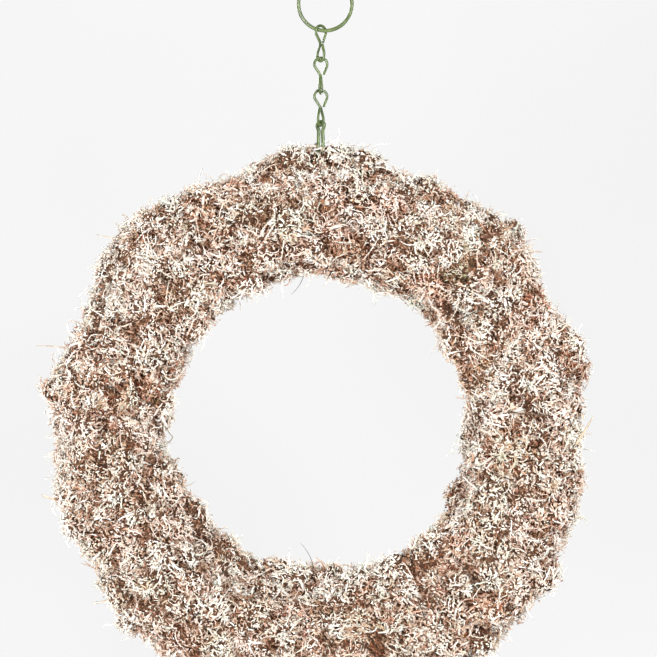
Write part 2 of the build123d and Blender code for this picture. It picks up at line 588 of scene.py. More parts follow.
# ------------------------------------------------------------------------------------------- wreath shape
@dataclass(frozen=True)
class PaddedRing:
    """The moss-covered ring as a surface: a rounded section, flat at the back, turned round the centre."""

    centre_x: float
    centre_z: float
    inner: float
    outer: float
    front: float
    back: float
    front_round: float = 30 * MM
    back_round: float = 16 * MM
    pads: int = 16
    front_reach: float = 7 * MM
    front_slack: float = 4 * MM
    back_reach: float = 1 * MM
    back_slack: float = 2.5 * MM

    @staticmethod
    def from_frame(pads: int = 16) -> "PaddedRing":
        """Reads the ring's size and place from the boxes of the moss pads."""
        boxes = [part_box(f"moss_pad_{i + 1:02d}") for i in range(pads)]
        low = np.min([b[0] for b in boxes], axis=0)
        high = np.max([b[1] for b in boxes], axis=0)
        centre_x, centre_z = (low[0] + high[0]) / 2, (low[2] + high[2]) / 2
        inner = (boxes[0][0].z - centre_z) / math.cos(math.pi / pads)
        return PaddedRing(centre_x, centre_z, inner, (high[0] - low[0]) / 2, low[1], high[1])

    def outline(self) -> tuple[Array, Array]:
        """The section's corner arcs as one closed loop.

        Returns:
            Radius and depth of each point, and the outward normal's two parts.
        """
        points, normals = [], []
        corners = (
            (self.outer, self.front, self.front_round, 1, 1, 0.0),
            (self.inner, self.front, self.front_round, -1, 1, -0.5),
            (self.inner, self.back, self.back_round, -1, -1, -1.0),
            (self.outer, self.back, self.back_round, 1, -1, -1.5),
        )
        for edge, face, bend, out, up, start in corners:
            angle = (start - np.linspace(0, 0.5, 24)) * math.pi
            normal = np.stack([np.cos(angle), np.sin(angle)], axis=1)
            middle = np.array([edge - out * bend, face + up * bend])
            points.append(middle + bend * normal)
            normals.append(normal)
        points.append(points[0][:1])
        normals.append(normals[0][:1])
        return np.concatenate(points), np.concatenate(normals)

    def section(self, place: Array) -> tuple[Array, Array]:
        """Points of the section by their share of the way round it.

        Args:
            place: Shares from 0 to 1: outer side, front, inner side, then back.

        Returns:
            Radius and depth, and the normal's two parts, each N by 2.
        """
        points, normals = self.outline()
        run = np.concatenate([[0], np.cumsum(np.linalg.norm(np.diff(points, axis=0), axis=1))])
        run /= run[-1]
        share = np.mod(place, 1.0)
        spot = np.stack([np.interp(share, run, points[:, i]) for i in (0, 1)], axis=-1)
        normal = np.stack([np.interp(share, run, normals[:, i]) for i in (0, 1)], axis=-1)
        return spot, unit(normal)

    def surface(self, angle: Array, place: Array, lift: Array | float = 0.0) -> tuple[Array, Array]:
        """Points on the ring, or at a height over it.

        Args:
            angle: Clock angles from +X, in radians.
            place: Shares of the way round the section.
            lift: Heights over the surface, below it if negative.

        Returns:
            Points and outward normals, each N by 3.
        """
        spot, normal = self.section(place)
        cos, sin = np.cos(angle), np.sin(angle)
        radial = spot[..., 0] + lift * normal[..., 0]
        depth = spot[..., 1] + lift * normal[..., 1]
        points = np.stack([self.centre_x + radial * cos, depth, self.centre_z + radial * sin], axis=-1)
        outward = np.stack([normal[..., 0] * cos, normal[..., 1], normal[..., 0] * sin], axis=-1)
        return points, outward

    def pressed(self, points: Array) -> Array:
        """Points with what stands far out in front or behind pushed back in.

        Args:
            points: N by 3 points.

        Returns:
            The points, none further out than the reach and slack of its side together.
        """
        held = points.copy()
        for limit, slack, way in (
            (self.front - self.front_reach, self.front_slack, -1),
            (self.back + self.back_reach, self.back_slack, 1),
        ):
            beyond = np.maximum((points[:, 1] - limit) * way, 0)
            held[:, 1] += way * (slack * np.tanh(beyond / slack) - beyond)
        return held

    def scatter(
        self, rng: np.random.Generator, count: int, low: float, high: float, back_share: float = 1.0
    ) -> tuple[Array, Array]:
        """Random places, even over the surface but for a thinner back.

        Args:
            rng: The source of chance.
            count: How many places.
            low: Lowest clock angle.
            high: Highest clock angle.
            back_share: How densely the flat back is covered, against the rest.

        Returns:
            Clock angles and places round the section.
        """
        angles, places = [], []
        found = 0
        while found < count:
            angle = rng.uniform(low, high, count * 2)
            place = rng.uniform(0, 1, count * 2)
            spot, normal = self.section(place)
            keep = rng.uniform(0, 1, count * 2) < spot[:, 0] / self.outer
            keep &= (normal[:, 1] < 0.8) | (rng.uniform(0, 1, count * 2) < back_share)
            angles.append(angle[keep])
            places.append(place[keep])
            found += int(keep.sum())
        return np.concatenate(angles)[:count], np.concatenate(places)[:count]


class Accent(Enum):
    """The odd patches of colour among the moss."""

    GREEN = "green"
    GOLD = "gold"
    DARK_RED = "dark_red"


@dataclass(frozen=True)
class Patch:
    """One patch of odd moss.

    The angle is its place on the clock from +X in degrees, the radius its distance from the wreath's
    centre, and rise how far its tufts stand over the others.
    """

    kind: Accent
    angle: float
    radius: float
    size: float
    rise: float = 0.0


@dataclass
class Tufts:
    """The small tufts of the handfuls: where each sits, how high it stands, its tone and how it is combed.

    The fullness says how much further out each handful stands than the ring, from the top one
    anticlockwise.
    """

    ring: PaddedRing
    patches: tuple[Patch, ...] = ()
    fullness: tuple[float, ...] = (0.0,)
    spacing: float = 13.5 * MM
    sink: float = 10.8 * MM
    swell: float = 6.6 * MM
    uneven: float = 3.8 * MM
    back_sink: float = 4.2 * MM
    back_uneven: float = 0.6 * MM
    warp: float = 1.1 * MM
    tries: int = 9000
    waves_count: int = 9
    seed: int = 11
    front_depth: float = 45 * MM
    dark_tone: float = 0.16
    green: float = 0.8
    gold: float = -0.75
    centre: Array = field(init=False)
    height: Array = field(init=False)
    tone: Array = field(init=False)
    flow: Array = field(init=False)
    accent: Array = field(init=False)
    blush: Array = field(init=False)
    reach: Array = field(init=False)
    waves: Array = field(init=False)
    ripples: Array = field(init=False)
    phases: Array = field(init=False)

    def __post_init__(self) -> None:
        """Spreads the tufts over the ring, no two closer than the spacing."""
        rng = np.random.default_rng(self.seed)
        angle, place = self.ring.scatter(rng, self.tries, 0.0, FULL_TURN)
        points, normals = self.ring.surface(angle, place)
        kept: list[int] = []
        for i, point in enumerate(points):
            if not kept or np.min(np.linalg.norm(points[kept] - point, axis=1)) > self.spacing:
                kept.append(i)
        self.centre = points[kept]
        count = len(kept)
        self.height = rng.normal(0.0, 2.8 * MM, count)
        self.tone = np.clip(rng.normal(0.56, 0.13, count), 0.15, 0.90)
        self.flow = across(sphere_points(rng, count), normals[kept])
        self.accent = np.zeros(count)
        self.blush = np.clip(rng.normal(-0.05, 0.32, count), -0.9, 1.0)
        self.reach = rng.normal(0, 1.6 * MM, count)
        self.waves = self.ripple(rng, 45 * MM, 120 * MM)
        self.ripples = self.ripple(rng, 9 * MM, 26 * MM)
        self.phases = rng.uniform(0, FULL_TURN, self.waves_count)
        for patch in self.patches:
            self.colour_patch(patch)

    def ripple(self, rng: np.random.Generator, short: float, long: float) -> Array:
        """Wave directions for slow unevenness, each as long as its turns to the metre.

        Args:
            rng: The source of chance.
            short: The shortest wavelength.
            long: The longest wavelength.

        Returns:
            One wave vector to a row.
        """
        headings = sphere_points(rng, self.waves_count)
        return headings * FULL_TURN / rng.uniform(short, long, (self.waves_count, 1))

    def colour_patch(self, patch: Patch) -> None:
        """Gives the tufts in front near a patch's centre its colour.

        Args:
            patch: The patch.
        """
        turn = math.radians(patch.angle)
        spot = np.array([
            self.ring.centre_x + patch.radius * math.cos(turn),
            self.ring.front,
            self.ring.centre_z + patch.radius * math.sin(turn),
        ])
        offset = self.centre - spot
        near = (np.hypot(offset[:, 0], offset[:, 2]) < patch.size) & (offset[:, 1] < self.front_depth)
        self.height[near] += patch.rise
        if patch.kind is Accent.DARK_RED:
            self.tone[near] = self.dark_tone
        else:
            self.accent[near] = self.green if patch.kind is Accent.GREEN else self.gold

    def nearest(self, points: Array) -> tuple[Array, Array]:
        """The tuft that each point belongs to.

        Args:
            points: N by 3 points on the ring, within a stretch of it.

        Returns:
            Each point's tuft, and how far inside it the point is, from 0 at its edge to 1.
        """
        low, high = points.min(axis=0) - 3 * self.spacing, points.max(axis=0) + 3 * self.spacing
        close = np.flatnonzero(np.all((self.centre > low) & (self.centre < high), axis=1))
        ripple = np.sin(points @ self.ripples.T + self.phases)
        bent = points + self.warp * np.stack([ripple[:, i::3].sum(axis=1) for i in range(3)], axis=1)
        gap = np.linalg.norm(bent[:, None] - self.centre[None, close], axis=2) - self.reach[close]
        order = np.argsort(gap, axis=1)[:, :2]
        first, second = np.take_along_axis(gap, order, axis=1).T
        inside = np.clip((second - first) / (0.9 * self.spacing), 0, 1)
        return close[order[:, 0]], inside

    def lift(self, points: Array, outward: Array, owner: Array, inside: Array) -> Array:
        """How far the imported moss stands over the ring's surface, mostly a little below it.

        Args:
            points: N by 3 points on the ring.
            outward: N by 3 normals.
            owner: Each point's tuft.
            inside: How far inside the tuft each point is.

        Returns:
            N heights.
        """
        dome = np.sqrt(inside)
        slow = np.sin(points @ self.waves.T + self.phases).sum(axis=1) / 3.0
        loose = -self.sink + dome * (self.swell + self.height[owner]) + self.uneven * slow
        turn = np.arctan2(points[:, 2] - self.ring.centre_z, points[:, 0] - self.ring.centre_x)
        middles = math.pi / 2 + np.arange(len(self.fullness)) * FULL_TURN / len(self.fullness)
        fuller = np.interp(turn, middles, self.fullness, period=FULL_TURN)
        radial = outward[:, 0] * np.cos(turn) + outward[:, 2] * np.sin(turn)
        loose += fuller * np.clip(radial, 0, 1)
        backward = rearward(outward)
        return loose * (1 - backward) + (self.back_uneven * slow - self.back_sink) * backward


# ------------------------------------------------------------------------------------------- moss pieces
@dataclass(frozen=True)
class StrandKind:
    """One layer of strands: how many to a pad, their size, how they lie, how pale they are and how much
    painted shade darkens their roots.
    """

    count: int
    length: float
    thick: tuple[float, float]
    rings: int
    turn: tuple[float, float] = (0.8, 5.0)
    lean: tuple[float, float] = (0.1, 0.8)
    combed: float = 0.5
    wild: float = 0.75
    spread: float = 0.34
    deep: float = 1.0 * MM
    crimp: float = 0.2 * MM
    tone: float = 0.0
    pale_share: float = 0.0
    pale_by: float = 0.34
    root_shade: float = 0.3


LAYERS = (
    StrandKind(1000, 4.0 * MM, (0.40 * MM, 0.72 * MM), 4, lean=(0.0, 0.5), tone=-0.16, pale_share=0.10),
    StrandKind(
        count=3100,
        length=3.7 * MM,
        thick=(0.55 * MM, 1.05 * MM),
        rings=3,
        turn=(0.8, 3.6),
        lean=(0.0, 0.5),
        combed=0.7,
        wild=0.65,
        tone=0.14,
        pale_share=0.30,
        pale_by=0.24,
        deep=0.3 * MM,
        root_shade=0.45,
    ),
    StrandKind(
        count=1450,
        length=7.4 * MM,
        thick=(0.46 * MM, 0.86 * MM),
        rings=6,
        turn=(0.8, 4.0),
        lean=(0.05, 0.5),
        combed=0.9,
        wild=0.5,
        crimp=0.26 * MM,
        tone=0.17,
        pale_share=0.36,
        pale_by=0.25,
    ),
)


@dataclass
class MossPad:
    """One handful of moss on the frame: a packed core under curled strands, sprigs, star heads and crumbs."""

    ring: PaddedRing
    tufts: Tufts
    number: int
    layers: Sequence[StrandKind] = LAYERS
    sprigs: int = 210
    stars: int = 90
    crumbs: int = 4200
    back_share: float = 0.5
    core_drop: float = 0.5 * MM
    stray_green: float = 0.94
    stray_gold: float = 0.09
    low: float = field(init=False)
    high: float = field(init=False)
    rng: np.random.Generator = field(init=False)
    stock: MeshStock = field(init=False)

    def __post_init__(self) -> None:
        """Works out the pad's stretch of the ring and starts its own run of chance."""
        step = FULL_TURN / self.ring.pads
        middle = math.pi / 2 + (self.number - 1) * step
        self.low, self.high = middle - step / 2, middle + step / 2
        self.rng = np.random.default_rng(500 + self.number)
        self.stock = MeshStock()

    def packed(self, angle: Array, place: Array, drop: Array | float) -> dict[str, Array]:
        """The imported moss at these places.

        Args:
            angle: Clock angles from +X, in radians.
            place: Shares of the way round the section.
            drop: How far below its surface the points are.

        Returns:
            By name: the points, the ring's own points and normals, each one's tuft and place inside it.
        """
        flat, outward = self.ring.surface(angle, place)
        owner, inside = self.tufts.nearest(flat)
        lift = self.tufts.lift(flat, outward, owner, inside)
        point = flat + outward * (lift - drop)[:, None]
        return {"point": point, "flat": flat, "outward": outward, "owner": owner, "inside": inside}

    def core(self, steps: int = 28, places: int = 190) -> None:
        """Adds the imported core, a closed stretch of lumpy tube.

        Args:
            steps: Points along the stretch.
            places: Points round the section.
        """
        angle, place = np.meshgrid(
            np.linspace(self.low, self.high, steps), np.arange(places) / places, indexing="ij"
        )
        moss = self.packed(angle.ravel(), place.ravel(), self.core_drop)
        rough = self.rng.normal(0, 0.8 * MM, steps * places) * (moss["outward"][:, 1] < 0.7)
        points = moss["point"] + moss["outward"] * rough[:, None]
        index = np.arange(steps * places).reshape(steps, places)
        after = np.roll(index, -1, axis=1)
        walls = np.stack([index[:-1], after[:-1], after[1:], index[1:]], axis=-1).reshape(-1, 4)
        hub = np.stack([points[index[0]].mean(axis=0), points[index[-1]].mean(axis=0)])
        first, last = len(points), len(points) + 1
        near = np.stack([np.full(places, first), after[0], index[0]], axis=1)
        far = np.stack([np.full(places, last), index[-1], after[-1]], axis=1)
        self.stock.add(np.concatenate([points, hub]), [walls, near, far], 1, tone=0.2, shade=0.6)

    def rooted(self, count: int, deep: float) -> dict[str, Array]:
        """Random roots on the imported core.

        Args:
            count: How many.
            deep: How far the roots are pushed below the core's surface.

        Returns:
            What packed() gives, and by name: the dome's normals, how far out from its tuft's middle each
            is, the tuft's flow, and how much it is at the back.
        """
        angle, place = self.ring.scatter(self.rng, count, self.low, self.high, self.back_share)
        moss = self.packed(angle, place, deep)
        outward, owner = moss["outward"], moss["owner"]
        offset = moss["flat"] - self.tufts.centre[owner]
        offset -= np.sum(offset * outward, axis=1, keepdims=True) * outward
        spread = offset / (0.55 * self.tufts.spacing)
        dome = unit(outward + 0.75 * spread)
        more = {"dome": dome, "spread": spread, "flow": self.tufts.flow[owner], "back": rearward(outward)}
        return moss | more

    def headings(
        self, roots: dict[str, Array], rise: tuple[float, float], combed: float, wild: float
    ) -> Array:
        """The directions in which strands leave their roots.

        Args:
            roots: What rooted() gives.
            rise: The least and most that a strand leans outward.
            combed: How much it follows its tuft's flow.
            wild: How much is left to chance.

        Returns:
            N by 3 unit directions that never point into the core.
        """
        count = len(roots["point"])
        lean = self.rng.uniform(*rise, count)[:, None] * (1 - 0.85 * roots["back"])[:, None]
        comb = self.rng.normal(combed, 0.5, count)[:, None]
        heading = lean * roots["dome"] + comb * roots["flow"] + 0.3 * roots["spread"]
        heading += wild * sphere_points(self.rng, count)
        dip = np.sum(heading * roots["outward"], axis=1, keepdims=True)
        heading += np.maximum(0.05 - dip, 0) * roots["outward"]
        return unit(heading)

    def tones(self, roots: dict[str, Array], offset: float, spread: float) -> Array:
        """A tone for each strand, from its tuft, its place in it and chance.

        Args:
            roots: What rooted() gives.
            offset: How much paler than its tuft.
            spread: How much is left to chance.

        Returns:
            One tone for each root, from 0 to 1.
        """
        count = len(roots["point"])
        # Darker at the tuft's edge and paler in its middle: partly the moss's bleached tops, partly painted
        # shade in the crevices.
        base = self.tufts.tone[roots["owner"]] + offset + 0.40 * (roots["inside"] - 0.4)
        return np.clip(base + self.rng.normal(0, spread, count), 0.0, 1.0)

    def hues(self, roots: dict[str, Array], corners: int) -> dict[str, Array]:
        """The accent and blush of each strand, repeated for its points.

        Args:
            roots: What rooted() gives.
            corners: How many points a strand has.

        Returns:
            Values for MeshStock.add by name.
        """
        owner = roots["owner"]
        blush = np.clip(self.tufts.blush[owner] + self.rng.normal(0, 0.55, len(owner)), -1, 1)
        stray = self.rng.uniform(0, 1, len(owner))
        accent = self.tufts.accent[owner] * self.rng.uniform(0, 1, len(owner))
        accent += 0.25 * (stray > self.stray_green) - 0.45 * (stray < self.stray_gold)
        return {"accent": np.repeat(accent, corners), "blush": np.repeat(blush, corners)}

    def painted_crevice_shade(self, roots: dict[str, Array]) -> Array:
        """Painted shade between the tufts: how much light reaches down there, 1 in the open."""
        return 0.27 + 0.73 * np.clip(roots["inside"] * 2.0, 0, 1)

    def plant(
        self, batch: tuple[Array, list[Array]], roots: dict[str, Array], tone: Array, shade: Array | float
    ) -> None:
        """Adds what grows from these roots to the stock.

        Args:
            batch: The points and faces, as many points to every root.
            roots: What rooted() gives.
            tone: A tone for each point, strand or leaf.
            shade: How open to the light each point is, painted into its colour as shade.
        """
        points, faces = batch
        tone = np.repeat(tone, len(points) // len(tone))
        hues = self.hues(roots, len(points) // len(roots["owner"]))
        self.stock.add(points, faces, 0, tone=tone, shade=shade, **hues)

    def grow(self, kind: StrandKind) -> None:
        """Adds one layer of curled strands.

        Args:
            kind: How many, and what they are like.
        """
        rng = self.rng
        count, rings = kind.count, kind.rings
        roots = self.rooted(count, kind.deep)
        length = np.clip(kind.length * np.exp(rng.normal(0, kind.spread, count)), 1.5 * MM, 13 * MM)
        length *= 0.6 + 0.5 * roots["inside"]
        turn = rng.uniform(*kind.turn, count)
        along = self.headings(roots, kind.lean, kind.combed, kind.wild)
        arcs = Arcs.grown(rng, roots["point"], along, -roots["outward"], length, turn)
        place = np.linspace(0, 1, rings)
        shape = np.interp(place, [0, 0.25, 0.75, 1], [0.75, 1.0, 0.9, 0.4])
        thick = rng.uniform(*kind.thick, count)
        radii = thick[:, None] * shape * rng.uniform(0.65, 1.35, (count, rings))
        points, faces = tube_batch(arcs, radii, flat=0.5)
        crimp = rng.normal(0, kind.crimp, (count, rings, 1, 3)) * (place > 0)[:, None, None]
        points = (points.reshape(count, rings, 3, 3) + crimp).reshape(-1, 3)
        tone = self.tones(roots, kind.tone, 0.21)
        tone += kind.pale_by * (rng.uniform(0, 1, count) < kind.pale_share)
        # Painted shade: strands darker at the root and between the tufts.
        root_painted_shade = np.interp(place, [0, 0.35, 1], [kind.root_shade, 0.88, 1.0])
        tone = np.repeat(tone, rings * 3) + np.tile(np.repeat(0.1 * place, 3), count)
        shade = np.tile(np.repeat(root_painted_shade, 3), count) * np.repeat(self.painted_crevice_shade(roots), rings * 3)
        self.plant((points, faces), roots, tone, shade)

    def feathers(self, count: int, leaves: int = 18) -> None:
        """Adds pale sprigs: a thin stem with short leaves set round it all the way to its tip.

        Args:
            count: How many sprigs.
            leaves: How many leaves each has.
        """
        roots = self.rooted(count, 0.5 * MM)
        rng = self.rng
        length = rng.uniform(8, 17, count) * MM
        turn = rng.uniform(0.9, 2.8, count)
        along = self.headings(roots, (0.1, 0.6), 0.9, 0.5)
        arcs = Arcs.grown(rng, roots["point"], along, -roots["outward"], length, turn, 0.9)
        rings = 6
        shape = np.interp(np.linspace(0, 1, rings), [0, 0.8, 1], [1.0, 0.6, 0.25])
        radii = rng.uniform(0.26, 0.40, count)[:, None] * MM * shape
        tone = self.tones(roots, 0.22, 0.14)
        # The stems get slight painted shade; the leaves get none.
        self.plant(tube_batch(arcs, radii), roots, tone, 0.95)
        at = np.broadcast_to(np.linspace(0.12, 1.0, leaves), (count, leaves))
        base, tangent, bend, side = arcs.frame(at)
        spin = (np.arange(leaves) * 2.4)[None] + rng.uniform(0, FULL_TURN, (count, 1))
        round_stem = np.cos(spin)[..., None] * bend + np.sin(spin)[..., None] * side
        out = unit(round_stem * 0.8 + tangent * rng.uniform(0.5, 1.1, (count, leaves, 1)))
        reach = rng.uniform(0.9, 1.8, (count, leaves)) * MM * (1.05 - 0.45 * at)
        tip = base + out * reach[..., None]
        width = (rng.uniform(0.30, 0.50, (count, leaves)) * MM).reshape(-1)
        batch = spindle_batch(base.reshape(-1, 3), tip.reshape(-1, 3), side.reshape(-1, 3), width)
        tone = np.repeat(tone, leaves) + rng.normal(0.02, 0.07, count * leaves)
        self.plant(batch, roots, tone, 1.0)

    def star_heads(self, count: int, rays: int = 12) -> None:
        """Adds the moss's star-shaped heads, tight whorls of short rays.

        Args:
            count: How many heads.
            rays: How many rays each has.
        """
        roots = self.rooted(count, -1.2 * MM)
        rng = self.rng
        axis = self.headings(roots, (0.8, 1.6), 0.3, 0.4)
        base = roots["point"] + axis * rng.uniform(0, 2.0, (count, 1)) * MM
        first = across(sphere_points(rng, count), axis)
        second = np.cross(axis, first)
        spin = np.arange(rays) * 2.4 + rng.uniform(0, FULL_TURN, (count, 1))
        open_up = rng.uniform(0.15, 0.9, (count, rays, 1))
        out = np.cos(spin)[..., None] * first[:, None] + np.sin(spin)[..., None] * second[:, None]
        out = unit(out + open_up * axis[:, None])
        grown = rng.uniform(2.0, 5.2, (count, 1)) * MM
        reach = (rng.uniform(0.7, 1.1, (count, rays)) * grown)[..., None]
        start = np.broadcast_to(base[:, None], out.shape)
        side = np.cross(out, axis[:, None])
        width = (rng.uniform(0.8, 1.2, (count, rays)) * (0.12 * MM + 0.07 * grown)).reshape(-1)
        tip = start + out * reach
        batch = spindle_batch(start.reshape(-1, 3), tip.reshape(-1, 3), side.reshape(-1, 3), width)
        tone = np.repeat(self.tones(roots, 0.12, 0.18), rays) + rng.normal(0, 0.05, count * rays)
        # Painted shade at the base of each ray.
        shade = np.tile([0.7, 1.0, 1.0, 1.0, 1.0], count * rays)
        self.plant(batch, roots, tone, shade)

    def scraps(self, count: int) -> None:
        """Adds loose leaves and crumbs lying among the strands.

        Args:
            count: How many.
        """
        roots = self.rooted(count, 0.0)
        rng = self.rng
        lift = rng.uniform(-0.4, 3.0, (count, 1)) * MM * (1 - 0.8 * roots["back"])[:, None]
        base = roots["point"] + roots["dome"] * lift
        along = self.headings(roots, (0.0, 0.8), 0.4, 0.9)
        tip = base + along * rng.uniform(1.0, 3.4, (count, 1)) * MM
        width = rng.uniform(0.32, 0.80, count) * MM
        batch = spindle_batch(base, tip, sphere_points(rng, count), width)
        tone = self.tones(roots, 0.10, 0.24)
        # Painted shade between the tufts.
        self.plant(batch, roots, tone, np.repeat(self.painted_crevice_shade(roots), 5))

    def build(self, materials: Sequence[bpy.types.Material]) -> bpy.types.Object:
        """Grows everything and puts the piece in its node's place.

        Args:
            materials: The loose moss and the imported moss.

        Returns:
            The piece.
        """
        self.core()
        for kind in self.layers:
            self.grow(kind)
        self.feathers(self.sprigs)
        self.star_heads(self.stars)
        self.scraps(self.crumbs)
        self.stock.points = [self.ring.pressed(points) for points in self.stock.points]
        piece = self.stock.build(f"moss_{self.number:02d}", materials)
        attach(piece, "wreath")
        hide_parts(f"moss_pad_{self.number:02d}")
        return piece


@dataclass(frozen=True)
class Fibre:
    """One loose fibre that sticks out of the moss.

    Angle and lean are in degrees: angle is its place on the clock from +X, lean its direction in the
    wreath's plane from +X. Place is its share of the way round the section, turn how far it curls.
    """

    angle: float
    place: float
    lean: float
    length: float
    radius: float
    turn: float = 0.4
    forward: float = 0.1


@dataclass
class LooseFibres:
    """A group of loose fibres of one kind, some listed one by one and some placed by chance."""

    name: str
    ring: PaddedRing
    material: bpy.types.Material
    placed: Sequence[Fibre]
    extra: int
    extra_length: tuple[float, float] = (10 * MM, 20 * MM)
    extra_radius: tuple[float, float] = (0.12 * MM, 0.2 * MM)
    extra_turn: tuple[float, float] = (0.3, 2.0)
    taper: float = 0.35
    sides: int = 5
    seed: int = 3
    root_depth: float = 6 * MM
    rings: int = 14

    def grow(self) -> tuple[Arcs, Array]:
        """Sets out all the group's strands.

        Returns:
            The strands and their radii at the root.
        """
        rng = np.random.default_rng(self.seed)
        table = np.array([astuple(fibre) for fibre in self.placed])
        angle, place, lean, length, thick, turn, forward = table.T
        root, _ = self.ring.surface(np.radians(angle), place, -self.root_depth)
        lean = np.radians(lean)
        along = unit(np.stack([np.cos(lean), -forward, np.sin(lean)], axis=-1))
        more_angle, more_place = self.ring.scatter(rng, self.extra, 0, FULL_TURN, 0.0)
        more_root, outward = self.ring.surface(more_angle, more_place, -self.root_depth)
        more_along = unit(outward + 0.9 * sphere_points(rng, self.extra))
        thick = np.concatenate([thick, rng.uniform(*self.extra_radius, self.extra)])
        along = np.concatenate([along, more_along])
        side = across(sphere_points(rng, len(along)) * [1, 0.35, 1], along)
        root = np.concatenate([root, more_root])
        length = np.concatenate([length, rng.uniform(*self.extra_length, self.extra)])
        turn = np.concatenate([turn, rng.uniform(*self.extra_turn, self.extra)])
        return Arcs(root, along, side, length, np.maximum(turn, 0.02), np.zeros(len(along))), thick

    def build(self) -> bpy.types.Object:
        """Makes the piece.

        Returns:
            The piece.
        """
        arcs, thick = self.grow()
        shape = np.interp(np.linspace(0, 1, self.rings), [0, 0.6, 1], [1.0, 0.9, self.taper])
        wobble = np.random.default_rng(self.seed + 1).uniform(0.88, 1.12, (len(thick), self.rings))
        points, faces = tube_batch(arcs, thick[:, None] * shape * wobble, self.sides)
        stock = MeshStock()
        stock.add(self.ring.pressed(points), faces, 0, tone=0.5, shade=1.0)
        piece = stock.build(self.name, [self.material])
        piece.data.shade_smooth()
        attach(piece, "wreath")
        return piece


# ------------------------------------------------------------------------------------------- metalwork
CHAIN = CoatedWire("chain_green", (0.034, 0.056, 0.013), (0.084, 0.122, 0.032), (0.20, 0.25, 0.10))
STEM = CoatedWire("stem_wire_green", (0.054, 0.079, 0.022), (0.108, 0.143, 0.046), (0.24, 0.29, 0.13))
# The hanger is the ring's green wire, painted darker as shade.
SHADED_HANGER = CoatedWire("hanger_green_painted_shade", (0.032, 0.054, 0.012), (0.080, 0.118, 0.030), (0.18, 0.24, 0.10))
FRAME = CoatedWire("frame_green", (0.030, 0.085, 0.030), (0.060, 0.150, 0.055), (0.15, 0.20, 0.12))
REEL = CoatedWire(
    name="annealed_reel_wire",
    dark=(0.045, 0.028, 0.018),
    light=(0.110, 0.070, 0.045),
    scuff=(0.20, 0.14, 0.10),
    roughness=0.6,
    coat=0.0,
)


@dataclass
class Metalwork:
    """The wires: the CAD nodes stay as they are and get their finishes here."""

    nodes: dict[str, bpy.types.Object]
    finishes: tuple[tuple[CoatedWire, tuple[str, ...]], ...] = (
        (CHAIN, ("chain_link",)),
        (STEM, ("hanging_ring",)),
        (SHADED_HANGER, ("hanger_wire",)),
        (FRAME, ("outer_", "inner_", "cross_wire")),
        (REEL, ("binding_wire",)),
    )

    def dress(self, starts: tuple[str, ...], material: bpy.types.Material) -> int:
        """Gives every node whose name starts so this material.

        Args:
            starts: The starts of the nodes' names.
            material: Their finish.

        Returns:
            How many nodes it was.
        """
        found = [node for name, node in sorted(self.nodes.items()) if name.startswith(starts)]
        for node in found:
            node.data.materials.clear()
            node.data.materials.append(material)
        return len(found)

    def build(self) -> None:
        """Dresses the ring, the chain, the hanger and the frame inside."""
        for finish, starts in self.finishes:
            LOG.info("%s: %d nodes", finish.name, self.dress(starts, finish.build()))


# ------------------------------------------------------------------------------------------- studio
FLOOR_PAINT = PlainStage("pale_stage", (0.20, 0.20, 0.20), 3.1)
WALL_PAINT = PlainStage("wall_paint", (0.060, 0.060, 0.060), 13.1)


@dataclass(frozen=True)
class SoftLamp:
    """One square soft light: where it stands, its side in metres, its power in watts and its colour."""

    name: str
    place: Colour
    size: float
    power: float
    colour: Colour = (0.985, 1.0, 0.99)


